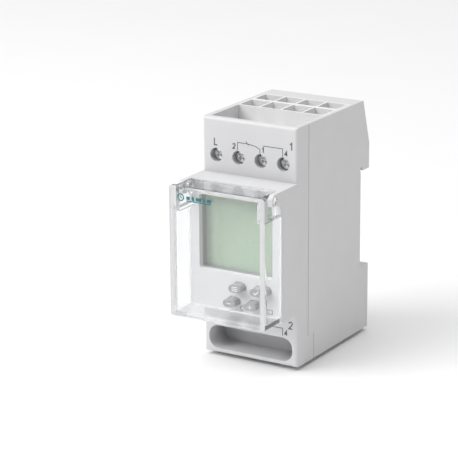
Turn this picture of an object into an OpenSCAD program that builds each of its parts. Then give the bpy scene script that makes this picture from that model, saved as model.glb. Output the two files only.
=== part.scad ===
// Two-module DIN rail time switch: two snapped shells, a hinged clear cover over a display and
// four keys, four rising-cage screw terminals, and a sprung latch for the 35 mm rail.
// X runs across the face, Y from the face back to the rail, Z upwards. The origin is the middle
// of the rail seat, which lies in the plane y = 0.

/* [Housing] */
// Width across the side faces, two modules
body_w = 36; // [35.8:0.1:36.2]
// Height over the terminal shoulders
body_h = 82; // [81.5:0.5:83]
// Depth from the rail seat to the terminal shoulders
shoulder_d = 44; // [43.8:0.1:44.4]
// Depth from the rail seat to the face of the centre section
centre_d = 54; // [53.8:0.1:54.4]
// Height of the centre section
centre_h = 44.8; // [44.6:0.1:45]
// Wall thickness of the shells
wall = 1.6; // [1.5:0.1:1.7]
// Radius of the outer edges of the shells
edge_r = 1; // [0.6:0.1:1.4]

/* [Rail] */
// Height of the rail that the seat takes
rail_h = 35; // [34.8:0.1:35.2]
// Depth of the hooks behind the rail seat
hook_d = 6; // [5.8:0.1:6.4]
// Travel of the rail latch
latch_travel = 3.5; // [3:0.1:3.6]

/* [Cover] */
// Depth from the rail seat to the face of the clear cover
cover_d = 65; // [64.6:0.1:65.4]
// Thickness of the cover's plate
cover_t = 1.8; // [1.6:0.1:2]
// Radius of the cover's pivot pins
pivot_r = 1.2; // [1.1:0.05:1.3]

/* [Display] */
// Width of the display window
window_w = 26.4; // [25:0.1:27]
// Height of the display window
window_h = 25.5; // [24:0.1:25.8]

/* [Keys] */
// Length of an oval key
key_w = 4.6; // [4.4:0.1:5]
// Height of an oval key
key_h = 2.6; // [2.4:0.1:3]
// Travel of a key
key_travel = 0.5; // [0.3:0.05:0.6]

/* [Terminals] */
// Distance between neighbouring terminal screws
terminal_pitch = 8.5; // [8.4:0.05:8.55]
// Radius of a screwdriver hole in the front wall
access_r = 2.35; // [2.3:0.05:2.5]
// Radius of a screw head
head_r = 2.1; // [2:0.05:2.15]
// Radius of a screw shank
shank_r = 1.5; // [1.4:0.05:1.5]

/* [Hidden] */
$fn = 48;
eps = 0.1;
running = 0.05;

hw = body_w / 2;
hh = body_h / 2;
ch = centre_h / 2;
in_x = hw - wall;
front_y = -shoulder_d;
fascia_y = -centre_d;
plate_y = -cover_d;
seam_y = front_y + 7.6;

// Rail seat and hooks
seat_half = 16.2;
relief = 0.3;
lip_gap = 1.3;
upper_lip_z = 16.6;
rail_z = rail_h / 2 + 0.3;
slant_z = 25.4;
top_back_y = 1.4;
seat_wall = 2;
core_x = [9, 1];
core_y = 1.8;
seam_gap = 0.2;

// Wiring side of the top
shoulder_t = 2.4;
rim_in_x = hw - 2.1;
trough_floor_z = hh - 8;
trough_floor_t = 1.4;
trough_y0 = front_y + shoulder_t;
grid_y0 = front_y + 19.85;
grid_y1 = -5.5;
grid_x = rim_in_x + 0.8;
grid_z = hh - 10;
cell_cols = 4;
cell_rib = 0.8;
cell_w = (2 * rim_in_x - (cell_cols - 1) * cell_rib) / cell_cols;
cell_rows = [[grid_y0 + 0.75, grid_y0 + 8.75], [grid_y0 + 10.65, grid_y1 - 0.85]];

// Terminals
columns = [for (i = [0:3]) (i - 1.5) * terminal_pitch];
screw_z = hh - 12.6;
head_y = front_y + 2.1;
head_l = 2;
slot_turn = 40;
slot_hw = 0.4;
cross_r = 1.35;
shank_end_y = front_y + 12.95;
cage_hw = 2.9;
cage_in = 2.2;
cage_hh = 4;
nut_y = front_y + 8.4;
nut_t = 2.2;
cage_back_y = front_y + 18.7;
cage_back_t = 0.9;
bar_y = front_y + 13;
bar_t = 1.2;
bar_hw = 2;
tail_hw = 1.5;
bar_drop_z = hh - 20;

// Lower pocket
pocket_x = hw - 1.8;
pocket_z = [-hh + 1.6, -hh + 9.8];
pocket_r = 3.6;
pocket_back_y = front_y + 9.8;
pocket_box_y = front_y + 11.25;
pocket_skin_z = -hh + 9;

// Display and keys
window_x = 0.2;
window_z = 4.9;
window_r = 1;
fascia_t = 2;
glass_y = fascia_y + 4.4;
glass_t = 1.6;
glass_over = 1.5;
bezel = 0.8;
board_y = glass_y + 2 * glass_t;
board_t = 1.6;
board_x = in_x - 0.2;
board_z = ch - wall - 0.2;
keys = [[2.45, -11.9], [10.6, -12], [0.25, -17.25], [8.2, -17.25]];
key_proud = 3.4;
key_gap = 0.15;
flange_over = 0.7;
flange_t = 0.8;
flange_y = fascia_y + fascia_t + 0.05;
switch_w = 4.4;
switch_h = 3;
plunger_r = 1;
plunger_l = 1.8;
boss_l = 0.6;
switch_face_y = flange_y + flange_t + boss_l;
lcd_posts = [[-14.3, -18.4], [-8.5, -14]];

// Cover
pivot_y = fascia_y - 4;
pivot_z = ch - 2;
lug_t = 1.7;
lug_front = 2;
lug_drop = 1.8;
cover_in_x = hw - lug_t - 0.2;
cover_low_z = -ch + 0.3;
cover_wall = 1.5;
cover_side = 1.8;
cover_r = 1;
cover_fill = 0.8;
cheek_t = 1.5;
arm_r = 1.9;
cover_gap = 0.3;
ear_z = ch - 7.9;

// Mains board and relay
mains_y = -6.4;
mains_t = 1.6;
mains_z = [-38.3, 23.4];
mains_post_x = [-13, 13];
mains_post_z = [-36, 17];
relay_x = [-15.4, -2.7];
relay_z = [-9, 20];
relay_d = 15.7;
relay_wall = 0.7;
relay_mid = (relay_x[0] + relay_x[1]) / 2;
relay_hw = 4;
armature_z = 9.6;
armature_t = 1;
knuckle_y = mains_y - 1.95;
knuckle_z = armature_z - 0.3;
knuckle_r = 0.45;
core_r = 1.6;

// ---- Shared shapes ----

// A block between two corners
module block(low, high) translate(low) cube(high - low);

// A flat outline in Y and Z, run along X from x0 to x1
module along_x(x0, x1) translate([x0, 0, 0]) rotate([90, 0, 90]) linear_extrude(x1 - x0) children();

// A flat outline in X and Z, run along Y from y0 to y1
module along_y(y0, y1) translate([0, y1, 0]) rotate([90, 0, 0]) linear_extrude(y1 - y0) children();

// A rectangle with true round corners
module soft_rect(low, high, r) {
    translate(low + [r, 0]) square([high[0] - low[0] - 2 * r, high[1] - low[1]]);
    translate(low + [0, r]) square([high[0] - low[0], high[1] - low[1] - 2 * r]);
    for (x = [low[0] + r, high[0] - r], y = [low[1] + r, high[1] - r]) translate([x, y]) circle(r);
}

// An oval of two half circles and a straight
module oval(w, h) soft_rect([-w / 2, -h / 2], [w / 2, h / 2], h / 2 - 0.001);

// A round rod along Y
module rod_y(at, r, y0, y1) translate([at[0], y0, at[1]]) rotate([-90, 0, 0]) cylinder(h = y1 - y0, r = r);

// Everything inside the rounded vertical edges of a shell of depth y0 to y1
module edge_limit(y0, y1, half_height) {
    translate([0, 0, -half_height]) linear_extrude(2 * half_height)
        soft_rect([-hw, y0], [hw, y1], edge_r);
}

// ---- Shells ----

module hook_outline() difference() {
    polygon([[seam_y, -hh], [hook_d, -hh], [hook_d, slant_z], [top_back_y, hh], [seam_y, hh]]);
    // Rail seat, deeper where the lips of the rail lie
    translate([0, -seat_half]) square([hook_d + 1, seat_half + upper_lip_z]);
    translate([-relief, -rail_z]) square([hook_d + 1, rail_z - seat_half]);
    translate([-relief, seat_half]) square([lip_gap + relief, rail_z - seat_half]);
}

module rear_base() color("#ebebec") {
    rear_shell();
    for (x = mains_post_x, z = mains_post_z) rod_y([x, z], 1.8, mains_y + mains_t, -seat_wall + eps);
}

module rear_shell() difference() {
    along_x(-hw, hw) hook_outline();
    // Inside, open to the front
    block([-in_x, seam_y - 1, -hh + wall], [in_x, -seat_wall, grid_z]);
    block([-in_x, seam_y - 1, 0], [in_x, grid_y0, trough_floor_z]);
    // Trough over the terminals
    block([-rim_in_x, seam_y - 1, trough_floor_z - 1], [rim_in_x, grid_y0 + eps, hh + 1]);
    // Seat of the entry grid
    block([-grid_x, grid_y0, grid_z], [grid_x, grid_y1, hh + 1]);
    // Room for the pocket of the front shell
    block([-hw - 1, seam_y - 1, -hh - 1], [hw + 1, pocket_box_y, pocket_skin_z]);
    latch_way();
    shadow_line(seam_y, seam_y + seam_gap, pocket_skin_z, hh + 1);
    shadow_line(pocket_box_y - eps, pocket_box_y + 1.5 * seam_gap, -hh - 1, pocket_skin_z);
    // Cored pockets in the hooks
    for (side = [0, 1]) mirror([side, 0, 0]) {
        block([core_x[0], core_y, -hh + 2], [hw - 2, hook_d + 1, -hh + 21]);
        block([core_x[1], core_y, hh - 21], [hw - 2, hook_d + 1, hh - 5]);
    }
}

// Shallow groove around the outside where the two shells meet
module shadow_line(y0, y1, z0, z1) difference() {
    block([-hw - 1, y0, z0], [hw + 1, y1, z1]);
    block([-hw + seam_gap, y0 - 1, -hh + seam_gap], [hw - seam_gap, y1 + 1, hh - seam_gap]);
}

// Channel of the rail latch, narrower at the back so that it holds the latch in
latch_hw = 7;
latch_y = [0.25, 3.35];
latch_tab = 1.5;
latch_nose_z = -16.3;
ledge_hw = 2.4;
ledge_z = [-36, -34.6];
spring_packed = 7.1;
spring_top_z = ledge_z[1] + spring_packed + latch_travel;
module latch_way() difference() {
    union() {
        block([-latch_hw - 0.15, 0.1, -hh - 1], [latch_hw + 0.15, latch_y[1] + 0.15, -rail_z + 1]);
        block([-latch_hw + 1.8, 0.1, -hh - 1], [latch_hw - 1.8, hook_d + 1, -rail_z + 1]);
    }
    block([-ledge_hw, 0, ledge_z[0]], [ledge_hw, 3.1, ledge_z[1]]);
}

module shoulder_outline() difference() {
    union() {
        translate([seam_y - edge_r, -hh]) square([edge_r, 2 * hh]);
        soft_rect([front_y, -hh], [seam_y, hh], edge_r);
    }
}

// Side outline of a hinge lug: round at the top of its nose, blended into the face below
module lug_outline() {
    fillet_r = 1.8;
    translate([pivot_y, pivot_z]) circle(lug_front);
    translate([pivot_y, pivot_z - lug_drop]) square([fascia_y - pivot_y + 1, lug_drop + ch - pivot_z]);
    translate([pivot_y - lug_front, pivot_z - lug_drop]) square([lug_front, lug_drop]);
    difference() {
        translate([fascia_y - fillet_r, pivot_z - lug_drop - fillet_r])
            square([fillet_r + 1, fillet_r + eps]);
        translate([fascia_y - fillet_r, pivot_z - lug_drop - fillet_r]) circle(fillet_r);
    }
}

module window_outline(inset) soft_rect(
    [window_x - window_w / 2 + inset, window_z - window_h / 2 + inset],
    [window_x + window_w / 2 - inset, window_z + window_h / 2 - inset], window_r - inset);

module pocket_outline() soft_rect([-pocket_x, pocket_z[0]], [pocket_x, pocket_z[1]], pocket_r);

module front_housing() color("#e3e3e6") difference() {
    union() {
        front_shell();
        // Lower pocket, which reaches past the seam
        block([-in_x + 0.1, trough_y0 - eps, -hh], [in_x - 0.1, pocket_box_y, pocket_z[1] + 1]);
        block([-hw, seam_y - eps, -hh], [hw, pocket_box_y, pocket_skin_z]);
        for (side = [0, 1]) mirror([side, 0, 0]) along_x(hw - lug_t, hw) lug_outline();
        // Chimneys around the screw heads
        for (x = columns) rod_y([x, screw_z], access_r + 0.8, trough_y0 - eps, trough_y0 + 1.65);
        // Posts behind the face that carry the display board
        for (at = lcd_posts) rod_y(at, 1.4, fascia_y + fascia_t - eps, board_y);
    }
    for (x = columns) rod_y([x, screw_z], access_r, front_y - 1, trough_y0 + 2);
    along_y(fascia_y - 1, fascia_y + fascia_t + 0.2) window_outline(0);
    for (at = keys) translate([at[0], 0, at[1]]) along_y(fascia_y - 1, fascia_y + fascia_t + 0.2)
        oval(key_w + 2 * key_gap, key_h + 2 * key_gap);
    along_y(front_y - 1, pocket_back_y) pocket_outline();
    shadow_line(seam_y - seam_gap, seam_y + eps, pocket_skin_z, hh + 1);
    // Pivot holes
    translate([-hw - 1, pivot_y, pivot_z]) rotate([0, 90, 0])
        cylinder(h = body_w + 2, r = pivot_r + running);
}

// The two shoulders and the centre section as one open shell
module front_shell() {
    difference() {
        union() {
            intersection() {
                along_x(-hw, hw) shoulder_outline();
                edge_limit(front_y, 0, hh + 1);
            }
            intersection() {
                along_x(-hw, hw) translate([fascia_y, -ch]) square([centre_d + seam_y, centre_h]);
                edge_limit(fascia_y, 0, hh);
            }
        }
        // Centre section, behind the face
        block([-in_x, fascia_y + fascia_t, -ch + wall], [in_x, seam_y + 1, ch - wall]);
        // Behind the shoulders
        block([-in_x, trough_y0, -hh + wall], [in_x, seam_y + 1, trough_floor_z]);
        // Trough
        block([-rim_in_x, trough_y0, trough_floor_z - 1], [rim_in_x, seam_y + 1, hh + 1]);
    }
}

// Eight square entries in two rows behind the trough
module wire_entry_grid() color("#ebebec") difference() {
    block([-grid_x, grid_y0, grid_z], [grid_x, grid_y1, hh]);
    for (row = cell_rows, i = [0:cell_cols - 1]) {
        x = -rim_in_x + i * (cell_w + cell_rib);
        block([x, row[0], grid_z + 1], [x + cell_w, row[1], hh + 1]);
    }
    // Round guides of the neutral clamp, under the first column
    for (row = cell_rows)
        translate([-rim_in_x + cell_w / 2, (row[0] + row[1]) / 2, grid_z - 1]) cylinder(h = 3, r = 1.8);
}

// Insulating block that holds the four cages and is the floor of the trough
module terminal_carrier() color("#d2d3d5") {
    back_y = grid_y0 - 0.05;
    low_z = hh - 17.6;
    carrier_x = in_x - 0.05;
    difference() {
        union() {
            block([-rim_in_x, trough_y0, trough_floor_z],
                [rim_in_x, back_y, trough_floor_z + trough_floor_t]);
            // Front wall behind the screw heads
            block([-carrier_x, head_y + head_l + 0.05, low_z],
                [carrier_x, head_y + head_l + 0.65, trough_floor_z]);
            // Partitions
            for (i = [-1, 0, 1]) block([i * terminal_pitch - 0.7, head_y + head_l + 0.3, low_z],
                [i * terminal_pitch + 0.7, back_y, trough_floor_z + eps]);
            for (side = [0, 1]) mirror([side, 0, 0])
                block([columns[3] + cage_hw + 0.15, head_y + head_l + 0.3, low_z],
                    [carrier_x, back_y, trough_floor_z]);
        }
        for (x = columns) {
            rod_y([x, screw_z], shank_r + 0.2, head_y, nut_y);
            // Wire guide down into the cage
            block([x - cage_in, bar_y + bar_t - 0.2, trough_floor_z - 1], [x + cage_in, cage_back_y, hh]);
        }
    }
}

// ---- Rail latch ----

module rail_latch() color("#d8d9db") difference() {
    union() {
        block([-latch_hw, latch_y[0], -hh - latch_tab], [latch_hw, latch_y[1], -rail_z - 0.1]);
        // Nose behind the lower lip of the rail, sloped so that it rides over the lip
        along_x(-latch_hw, latch_hw) polygon([[lip_gap, -rail_z - 0.2], [lip_gap, latch_nose_z],
            [lip_gap + 0.6, latch_nose_z], [latch_y[1], -rail_z - 0.2]]);
    }
    // Window with the spring
    block([-ledge_hw - 0.8, -1, ledge_z[0] - eps], [ledge_hw + 0.8, hook_d, spring_top_z]);
    // Slot for a screwdriver
    block([-2.5, -1, -hh - 0.6], [2.5, hook_d, -hh + 1.4]);
}

// Points of a ring of the coil, at turn fraction t
function coil_ring(t, turns, r, wire_r, z0, h, sides) = [for (k = [0:sides - 1])
    let (a = 360 * turns * t, b = 360 * k / sides, reach = r + wire_r * cos(b))
    [reach * cos(a), reach * sin(a), z0 + h * t + wire_r * sin(b)]];

// A coil spring along Z as one closed skin
module coil(turns, r, wire_r, z0, z1) {
    sides = 8;
    rings = turns * 14;
    points = [for (i = [0:rings])
        each coil_ring(i / rings, turns, r, wire_r, z0 + wire_r, z1 - z0 - 2 * wire_r, sides)];
    walls = [for (i = [0:rings - 1], k = [0:sides - 1])
        let (n = (k + 1) % sides)
        [i * sides + k, (i + 1) * sides + k, (i + 1) * sides + n, i * sides + n]];
    polyhedron(points, concat(walls, [[for (k = [0:sides - 1]) k]],
        [[for (k = [sides - 1:-1:0]) rings * sides + k]]));
}

module latch_spring() color("#c9ccd0")
    translate([0, (latch_y[0] + latch_y[1]) / 2, 0]) coil(8, 1.1, 0.18, ledge_z[1], spring_top_z);

// ---- Cover ----

// Cheek inside the hinge lug, from the top of the side wall to the pivot
module cheek_outline() {
    translate([pivot_y, pivot_z]) circle(arm_r);
    polygon([[plate_y + eps, ear_z - cover_fill], [fascia_y - cover_gap, ear_z - cover_fill],
        [fascia_y - cover_gap, ear_z + cover_fill], [pivot_y + arm_r, pivot_z],
        [pivot_y, pivot_z + arm_r], [plate_y + eps, pivot_z + arm_r]]);
}

// Round fill between the plate and a side wall, in X and Y
module fill_outline() difference() {
    translate([hw - cover_side - cover_fill, plate_y + cover_t - eps]) square(cover_fill + eps);
    translate([hw - cover_side - cover_fill, plate_y + cover_t + cover_fill]) circle(cover_fill);
}

module clear_cover() color([0.93, 0.96, 0.97, 0.4]) union() {
    // Plate
    along_y(plate_y, plate_y + cover_t) soft_rect([-hw, cover_low_z], [hw, ch], cover_r);
    // Top wall between the lugs
    block([-cover_in_x, plate_y + 1, ch - cover_wall], [cover_in_x, fascia_y - 1, ch]);
    // Side walls up to the lugs, and bottom wall
    along_y(plate_y + 1, fascia_y - cover_gap) difference() {
        soft_rect([-hw, cover_low_z], [hw, ch], cover_r);
        translate([-hw + cover_side, cover_low_z + cover_wall])
            square([body_w - 2 * cover_side, centre_h]);
        translate([-hw - 1, ear_z]) square([body_w + 2, ch]);
    }
    for (side = [0, 1]) mirror([side, 0, 0]) {
        translate([0, 0, cover_low_z + 1]) linear_extrude(ear_z - cover_low_z - 1) fill_outline();
        along_x(cover_in_x - cheek_t, cover_in_x) cheek_outline();
        // Foot that joins the cheek to the wall
        block([cover_in_x - cheek_t, plate_y + 1, ear_z - cover_fill],
            [hw - 0.5, fascia_y - cover_gap, ear_z]);
        translate([cover_in_x - 0.5, pivot_y, pivot_z]) rotate([0, 90, 0])
            cylinder(h = hw - 0.2 - cover_in_x + 0.5, r = pivot_r);
    }
}

// ---- Display ----

// Bezel between the face and the glass, flush with the window
module lcd_frame() color("#77767a") along_y(fascia_y + fascia_t, glass_y) difference() {
    window_outline(-bezel);
    window_outline(0.05);
}

module lcd_glass() color("#b3c8b3")
    block([window_x - window_w / 2 - glass_over, glass_y, window_z - window_h / 2 - glass_over],
        [window_x + window_w / 2 + glass_over, glass_y + glass_t, window_z + window_h / 2 + glass_over]);

module lcd_backlight() color("#f2f4ee")
    block([window_x - window_w / 2, glass_y + glass_t, window_z - window_h / 2 + 1.5],
        [window_x + window_w / 2, board_y, window_z + window_h / 2 - 1.5]);

module zebra_strips() color("#3c3c40") for (z = [window_z - window_h / 2 - 1, window_z + window_h / 2 - 1])
    block([window_x - window_w / 2, glass_y + glass_t, z], [window_x + window_w / 2, board_y, z + 2]);

module display_board() color("#2f6b45") difference() {
    block([-board_x, board_y, -board_z], [board_x, board_y + board_t, board_z]);
    for (at = lcd_posts) rod_y(at, 0.6, board_y - 1, board_y + board_t + 1);
}

// ---- Keys ----

// A key: cap in the face, flange behind it, boss on the switch
module key(at) color("#a8a8aa") translate([at[0], 0, at[1]]) {
    along_y(fascia_y - key_proud, flange_y + eps) oval(key_w, key_h);
    along_y(flange_y, flange_y + flange_t) oval(key_w + 2 * flange_over, key_h + 2 * flange_over);
    rod_y([0, 0], plunger_r + 0.3, flange_y + flange_t - eps, switch_face_y);
}

module switch_plunger(at) color("#3a3a3d")
    rod_y(at, plunger_r, switch_face_y, switch_face_y + plunger_l);

module tact_switches() color("#55565a") for (at = keys) difference() {
    translate([at[0] - switch_w / 2, board_y - switch_h, at[1] - switch_w / 2])
        cube([switch_w, switch_h, switch_w]);
    rod_y(at, plunger_r + running, board_y - switch_h - 1, switch_face_y + plunger_l + key_travel + 0.2);
}

// ---- Parts on the display board ----

board_back_y = board_y + board_t;

mcu_at = [4, 11];
mcu_hw = 6;
leg_size = [0.4, 0.5, 1.4];
module microcontroller() color("#2c2c2f") translate([mcu_at[0], board_back_y, mcu_at[1]]) {
    block([-mcu_hw, 0.1, -mcu_hw], [mcu_hw, 1.6, mcu_hw]);
    // Legs on all four sides
    for (turn = [0:90:270], k = [-5:5]) rotate([0, turn, 0])
        translate([k - leg_size[0] / 2, 0, mcu_hw - 0.1]) cube(leg_size);
}

crystal_r = 1.5;
module quartz_crystal() color("#c6c8cb")
    translate([-9, board_back_y + crystal_r, 8]) cylinder(h = 8, r = crystal_r);

chip_x = [-15, -12.6, 11.7, 14.1];
chip_z = [6, 10, 14];
chip_size = [1.6, 0.8, 1];
module chip_parts() color("#8a6f55") for (x = chip_x, z = chip_z)
    translate([x, board_back_y, z]) cube(chip_size);

// Coin cell with the step of its smaller cap
battery_at = [-4, -8];
battery_r = 10;
battery_y = board_back_y + 1.2;
battery_t = 3;
module backup_battery() color("#bfc2c6") {
    rod_y(battery_at, battery_r, battery_y, battery_y + battery_t);
    rod_y(battery_at, battery_r - 1.5, battery_y - 0.2, battery_y + eps);
}

// Strap over the cell with a leg at each end
clip_t = 0.5;
clip_hw = 2.5;
clip_leg_x = [battery_r + 0.2, battery_r + 1];
module battery_clip() color("#d0d2d5") translate([battery_at[0], 0, battery_at[1]]) {
    strap_y = battery_y + battery_t;
    block([-clip_leg_x[1], strap_y, -clip_hw], [clip_leg_x[1], strap_y + clip_t, clip_hw]);
    for (side = [0, 1]) mirror([side, 0, 0])
        block([clip_leg_x[0], board_back_y, -clip_hw], [clip_leg_x[1], strap_y + clip_t, clip_hw]);
}

// Two headers that face each other, and the ribbon between them
header_x = 12;
header_hw = 1.6;
header_l = 3.6;
header_z = [-19.5, -8.5];
ribbon_hw = 0.2;
module board_headers() color("#e8e2d0") for (y = [board_back_y, mains_y - header_l])
    block([header_x - header_hw, y, header_z[0]], [header_x + header_hw, y + header_l, header_z[1]]);

module ribbon_cable() color("#d9dadb")
    block([header_x - ribbon_hw, board_back_y + header_l, header_z[0] + 0.8],
        [header_x + ribbon_hw, mains_y - header_l, header_z[1] - 0.8]);

// ---- Mains side ----

module mains_board() color("#2f6b45")
    block([-in_x + 0.4, mains_y, mains_z[0]], [in_x - 0.4, mains_y + mains_t, mains_z[1]]);

module relay_base() color("#26282b")
    block([relay_x[0], mains_y - 1.2, relay_z[0]], [relay_x[1], mains_y, relay_z[1]]);

module relay_cover() color([0.16, 0.28, 0.42]) difference() {
    block([relay_x[0], mains_y - relay_d, relay_z[0]], [relay_x[1], mains_y - 1.2, relay_z[1]]);
    block([relay_x[0] + relay_wall, mains_y - relay_d + relay_wall, relay_z[0] + relay_wall],
        [relay_x[1] - relay_wall, mains_y, relay_z[1] - relay_wall]);
}

relay_coil_y = mains_y - 7.6;
relay_coil_z = [-6.8, 7.2];
module relay_coil() color("#b0653a") translate([relay_mid, relay_coil_y, 0]) difference() {
    union() {
        translate([0, 0, relay_coil_z[0]]) cylinder(h = relay_coil_z[1] - relay_coil_z[0], r = 4.2);
        for (z = [relay_coil_z[0], relay_coil_z[1] - 0.8]) translate([0, 0, z]) cylinder(h = 0.8, r = 4.9);
    }
    translate([0, 0, relay_coil_z[0] - 1]) cylinder(h = 20, r = core_r + 0.02);
}

// A rod along X through the hinge of the armature
module knuckle(r, half) translate([relay_mid - half, knuckle_y, knuckle_z]) rotate([0, 90, 0])
    cylinder(h = 2 * half, r = r);

// Core and frame of the relay, with a cradle for the armature at the top of its leg
yoke_t = 1;
yoke_z = relay_coil_z[0] - 1.4;
yoke_y = [mains_y - 2.6, mains_y - 1.3];
module relay_yoke() color("#9b9ea3") {
    translate([relay_mid, relay_coil_y, yoke_z + 0.8]) cylinder(h = armature_z - 1.6 - yoke_z, r = core_r);
    block([relay_mid - relay_hw, relay_coil_y - 2, yoke_z],
        [relay_mid + relay_hw, yoke_y[1], yoke_z + yoke_t]);
    difference() {
        block([relay_mid - relay_hw, yoke_y[0], yoke_z], [relay_mid + relay_hw, yoke_y[1], knuckle_z]);
        knuckle(knuckle_r + running, relay_hw + 1);
    }
}

module relay_armature() color("#a9acb1") {
    block([relay_mid - relay_hw, relay_coil_y - relay_hw, armature_z],
        [relay_mid + relay_hw, knuckle_y, armature_z + armature_t]);
    knuckle(knuckle_r, relay_hw);
}

// Contact leaf on the armature, with a round contact between the two fixed ones
leaf_t = 0.3;
leaf_hw = 2;
leaf_y = relay_coil_y - 3.2;
module relay_moving_contact() color("#c98d4f") {
    block([relay_mid - leaf_hw, leaf_y, armature_z + armature_t],
        [relay_mid + leaf_hw, leaf_y + leaf_t, armature_z + 8.2]);
    rod_y([relay_mid, armature_z + 6.8], 1.2, leaf_y - leaf_t, leaf_y + 2 * leaf_t);
}

module relay_fixed_contacts() color("#c98d4f") for (y = [leaf_y - 1.55, leaf_y + 0.85])
    block([relay_mid - leaf_hw, y, armature_z + 5.4],
        [relay_mid + leaf_hw, y + leaf_t, relay_z[1] - relay_wall]);

film_at = [1, 1];
film_size = [8, 14, 18];
module film_capacitor() color("#d9b23c")
    translate([film_at[0], mains_y - film_size[1], film_at[1]]) cube(film_size);

// Two electrolytic cans with the crimp groove near their vents
can_at = [[4.4, -6], [-9.6, -16]];
can_r = 5;
can_l = 16;
module smoothing_capacitors() color("#2a3350") for (at = can_at) difference() {
    rod_y(at, can_r, mains_y - can_l, mains_y);
    translate([at[0], mains_y - can_l + 1.4, at[1]]) rotate([90, 0, 0]) rotate_extrude()
        translate([can_r + 0.3, 0]) circle(0.6, $fn = 16);
}

// Disc on edge with two legs
varistor_at = [11, 10];
varistor_r = 5;
varistor_t = 3.5;
module varistor() color("#2f5fa8") {
    translate([varistor_at[0], mains_y - varistor_r - 1.6, varistor_at[1]]) rotate([0, 90, 0])
        cylinder(h = varistor_t, r = varistor_r);
    for (side = [-1, 1])
        rod_y([varistor_at[0] + varistor_t / 2, varistor_at[1] + side * varistor_r / 2], 0.4,
            mains_y - 3, mains_y);
}

diode_r = 1.3;
diode_l = 5;
diode_z = -27.5;
module rectifier_diodes() color("#333336") for (x = [-12:4:0])
    translate([x, mains_y - diode_r - 0.2, diode_z]) cylinder(h = diode_l, r = diode_r);

resistor_r = 2.2;
resistor_l = 11;
resistor_z = -32.5;
module fusible_resistor() color("#6f93a8") translate([-6, mains_y - resistor_r - 0.4, resistor_z])
    rotate([0, 90, 0]) cylinder(h = resistor_l, r = resistor_r);

// ---- Terminals ----

module terminal_screw(i) color("#c4c6ca") difference() {
    union() {
        rod_y([columns[i], screw_z], head_r, head_y, head_y + head_l);
        rod_y([columns[i], screw_z], shank_r, head_y + head_l - eps, shank_end_y);
    }
    // Plain slot and cross recess in one head
    translate([columns[i], head_y, screw_z]) rotate([0, slot_turn, 0]) {
        block([-head_r - 1, -1, -slot_hw], [head_r + 1, 0.7, slot_hw]);
        for (turn = [0, 90]) rotate([0, turn, 0]) block([-cross_r, -1, -slot_hw], [cross_r, 1.2, slot_hw]);
    }
}

module terminal_cage(i) color("#b9bcc0") difference() {
    block([columns[i] - cage_hw, nut_y, screw_z - cage_hh],
        [columns[i] + cage_hw, cage_back_y + cage_back_t, screw_z + cage_hh]);
    block([columns[i] - cage_in, nut_y + nut_t, screw_z - cage_hh - 1],
        [columns[i] + cage_in, cage_back_y, screw_z + cage_hh + 1]);
    rod_y([columns[i], screw_z], shank_r + running, nut_y - 1, nut_y + nut_t + 1);
}

// Flat bar inside the cage, with a tail back to the mains board
module contact_bar(i) color("#b87a4b") {
    block([columns[i] - bar_hw, bar_y, bar_drop_z], [columns[i] + bar_hw, bar_y + bar_t, trough_floor_z]);
    block([columns[i] - tail_hw, bar_y, bar_drop_z], [columns[i] + tail_hw, mains_y, bar_drop_z + bar_t]);
}

// Bar and leaf springs of the neutral clamp under the first column of the grid
neutral_x = -rim_in_x + cell_w / 2;
neutral_tabs = [for (row = cell_rows) (row[0] + row[1]) / 2 - 2.6];
neutral_hw = 1.8;
neutral_z = bar_drop_z + bar_t + 0.9;
module neutral_bar() color("#b87a4b") {
    block([neutral_x - neutral_hw, neutral_tabs[0], neutral_z],
        [neutral_x + neutral_hw, mains_y, neutral_z + 1]);
    for (y = neutral_tabs)
        block([neutral_x - neutral_hw, y, neutral_z + eps], [neutral_x + neutral_hw, y + 0.9, grid_z - 0.1]);
}

module neutral_springs() color("#c9ccd0") for (y = neutral_tabs)
    along_x(neutral_x - neutral_hw + 0.1, neutral_x + neutral_hw - 0.1)
    polygon([[y + 4.8, grid_z - 0.2], [y + 5.2, grid_z - 0.2], [y + 5.2, grid_z - 5.6],
        [y + 4.6, grid_z - 5.6], [y + 0.95, grid_z - 2.4], [y + 1.3, grid_z - 2.1],
        [y + 4.8, grid_z - 5]]);

// ---- Nodes ----

rear_base();
front_housing();
wire_entry_grid();
terminal_carrier();
rail_latch();
latch_spring();
clear_cover();
lcd_frame();
lcd_glass();
lcd_backlight();
zebra_strips();
display_board();
key(keys[0]);  // menu_button
key(keys[1]);  // ok_button
key(keys[2]);  // minus_button
key(keys[3]);  // plus_button
for (i = [0:3]) switch_plunger(keys[i]);
tact_switches();
microcontroller();
quartz_crystal();
chip_parts();
backup_battery();
battery_clip();
board_headers();
ribbon_cable();
mains_board();
relay_base();
relay_cover();
relay_coil();
relay_yoke();
relay_armature();
relay_moving_contact();
relay_fixed_contacts();
film_capacitor();
smoothing_capacitors();
varistor();
rectifier_diodes();
fusible_resistor();
neutral_bar();
neutral_springs();
for (i = [0:3]) {
    terminal_screw(i);
    terminal_cage(i);
    contact_bar(i);
}
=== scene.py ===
"""Looks of a two-module DIN rail timer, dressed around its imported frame.

The frame holds every solid of the device. This script gives each of them a finish, breaks the
edges of the terminal screws, and adds the thin pieces that a drawing of solids leaves out: the
printed contact sketches, the signs on and beside the keys and the mark on the cover.
"""

import logging
import math
from dataclasses import dataclass, field
from enum import Enum

import bmesh
import bpy
from mathutils import Matrix, Vector


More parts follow.
